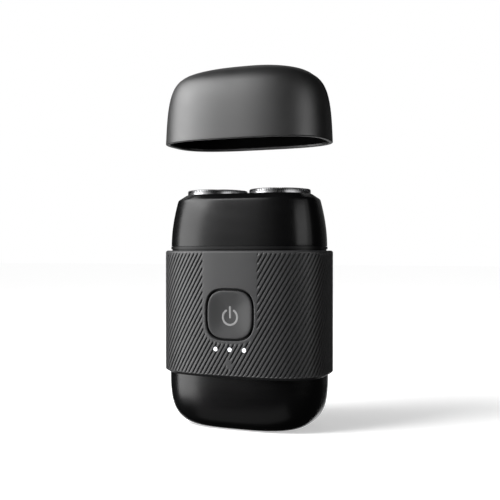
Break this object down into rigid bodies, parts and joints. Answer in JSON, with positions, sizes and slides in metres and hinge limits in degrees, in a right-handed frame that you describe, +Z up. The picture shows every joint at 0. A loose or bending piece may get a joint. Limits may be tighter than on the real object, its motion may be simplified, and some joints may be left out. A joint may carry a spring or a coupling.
{
  "type": "electric shaver",
  "caption": "Pocket rotary shaver with round floating guards, a ribbed grip sleeve, a square power button and a pull-off domed cap.",
  "frame": {"origin": "middle of the flat base, on the surface the shaver stands on", "axes": "+Z up the body to the shaving heads and cap, -Y to the button's side, +X to the right seen from the button's side"},
  "size_m": [0.06, 0.035, 0.1275],
  "materials": {
    "cap_black": "satin black moulded plastic with a fine grain",
    "gloss_black": "smooth gloss black plastic",
    "deck_black": "satin black plastic",
    "sleeve_grey": "matte dark grey ribbed grip",
    "button_grey": "matte dark grey with a pale power symbol",
    "guard_steel": "polished stainless steel with fine slots",
    "guard_trim": "brushed steel trim cap",
    "blade_steel": "ground stainless steel",
    "shaft_steel": "ground steel",
    "spring_steel": "drawn spring wire",
    "screw_steel": "zinc plated steel",
    "motor_steel": "pressed plated steel",
    "nickel_tab": "nickel strip",
    "switch_metal": "stamped metal shell",
    "magnet": "sintered ferrite",
    "brass": "sintered brass",
    "winding_copper": "enamelled copper wire",
    "white_plastic": "natural acetal",
    "grey_plastic": "glass filled plastic",
    "black_plastic": "moulded black plastic",
    "black_rubber": "black silicone",
    "seal_rubber": "red-brown silicone",
    "light_diffuser": "frosted clear plastic",
    "led_white": "white emitter",
    "board_green": "solder mask on glass laminate",
    "battery_wrap": "shrink sleeve",
    "red_wire": "insulated wire",
    "black_wire": "insulated wire"
  },
  "bodies": {
    "body": {"top_deck": "deck_black", "deck_gasket": "seal_rubber", "spindle_seals": "seal_rubber", "deck_screws": "screw_steel", "gear_axles": "shaft_steel", "motor_frame": "grey_plastic", "motor_can": "motor_steel", "motor_endcap": "white_plastic", "motor_magnets": "magnet", "motor_bushings": "brass", "motor_screws": "screw_steel", "motor_leads": "red_wire", "grip_sleeve": "sleeve_grey", "housing": "gloss_black", "button_seal": "black_rubber", "tact_switch": "switch_metal", "light_guide": "light_diffuser", "status_leds": "led_white", "circuit_board": "board_green", "board_chips": "black_plastic", "board_screws": "screw_steel", "battery": "battery_wrap", "battery_tabs": "nickel_tab", "battery_cradle": "black_plastic", "battery_leads": "red_wire", "charge_board": "board_green", "charge_leads": "black_wire", "usb_socket": "switch_metal", "usb_seal": "black_rubber"},
    "cap": {"protective_cap": "cap_black"},
    "shaving_head": {"head_frame": "gloss_black", "retaining_frame": "grey_plastic"},
    "guard_l": {"guard_left": "guard_steel", "guard_cap_left": "guard_trim"},
    "guard_r": {"guard_right": "guard_steel", "guard_cap_right": "guard_trim"},
    "cutter_l": {"cutter_left": "blade_steel", "cutter_carrier_left": "white_plastic"},
    "cutter_r": {"cutter_right": "blade_steel", "cutter_carrier_right": "white_plastic"},
    "gear_l": {"drive_gear_left": "white_plastic", "spindle_spring_left": "spring_steel"},
    "gear_r": {"drive_gear_right": "white_plastic", "spindle_spring_right": "spring_steel"},
    "spindle_l": {"drive_spindle_left": "white_plastic"},
    "spindle_r": {"drive_spindle_right": "white_plastic"},
    "rotor": {"rotor_core": "motor_steel", "rotor_windings": "winding_copper", "motor_shaft": "shaft_steel", "motor_pinion": "brass"},
    "button": {"power_button": "button_grey", "switch_plunger": "black_plastic"}
  },
  "joints": [
    {"name": "cap_lift", "type": "slide", "parent": "body", "child": "cap", "axis": [0, 0, 1], "range_m": [-0.0379, 0.02]},
    {"name": "head_release", "type": "slide", "parent": "body", "child": "shaving_head", "axis": [0, 0, 1], "range_m": [0, 0.015]},
    {"name": "guard_float_left", "type": "slide", "parent": "shaving_head", "child": "guard_l", "axis": [0, 0, 1], "range_m": [-0.001, 0], "stiffness_N_per_m": 400},
    {"name": "guard_float_right", "type": "slide", "parent": "shaving_head", "child": "guard_r", "axis": [0, 0, 1], "range_m": [-0.001, 0], "stiffness_N_per_m": 400},
    {"name": "motor_spin", "type": "hinge", "parent": "body", "child": "rotor", "pos_m": [0, 0, 0.04], "axis": [0, 0, 1], "continuous": true},
    {"name": "gear_spin_left", "type": "hinge", "parent": "body", "child": "gear_l", "pos_m": [-0.012, 0, 0.0575], "axis": [0, 0, 1], "continuous": true},
    {"name": "gear_spin_right", "type": "hinge", "parent": "body", "child": "gear_r", "pos_m": [0.012, 0, 0.0575], "axis": [0, 0, 1], "continuous": true},
    {"name": "spindle_slide_left", "type": "slide", "parent": "gear_l", "child": "spindle_l", "axis": [0, 0, 1], "range_m": [-0.001, 0], "deforming": ["spindle_spring_left"]},
    {"name": "spindle_slide_right", "type": "slide", "parent": "gear_r", "child": "spindle_r", "axis": [0, 0, 1], "range_m": [-0.001, 0], "deforming": ["spindle_spring_right"]},
    {"name": "cutter_spin_left", "type": "hinge", "parent": "guard_l", "child": "cutter_l", "pos_m": [-0.012, 0, 0.081], "axis": [0, 0, 1], "continuous": true},
    {"name": "cutter_spin_right", "type": "hinge", "parent": "guard_r", "child": "cutter_r", "pos_m": [0.012, 0, 0.081], "axis": [0, 0, 1], "continuous": true},
    {"name": "button_press", "type": "slide", "parent": "body", "child": "button", "axis": [0, 1, 0], "range_m": [0, 0.0005], "stiffness_N_per_m": 2000}
  ],
  "couplings": [
    {"joint": "gear_spin_left", "follows": "motor_spin", "ratio": -0.25},
    {"joint": "gear_spin_right", "follows": "motor_spin", "ratio": -0.25},
    {"joint": "cutter_spin_left", "follows": "motor_spin", "ratio": -0.25},
    {"joint": "cutter_spin_right", "follows": "motor_spin", "ratio": -0.25},
    {"joint": "spindle_slide_left", "follows": "guard_float_left", "ratio": 1},
    {"joint": "spindle_slide_right", "follows": "guard_float_right", "ratio": 1}
  ]
}
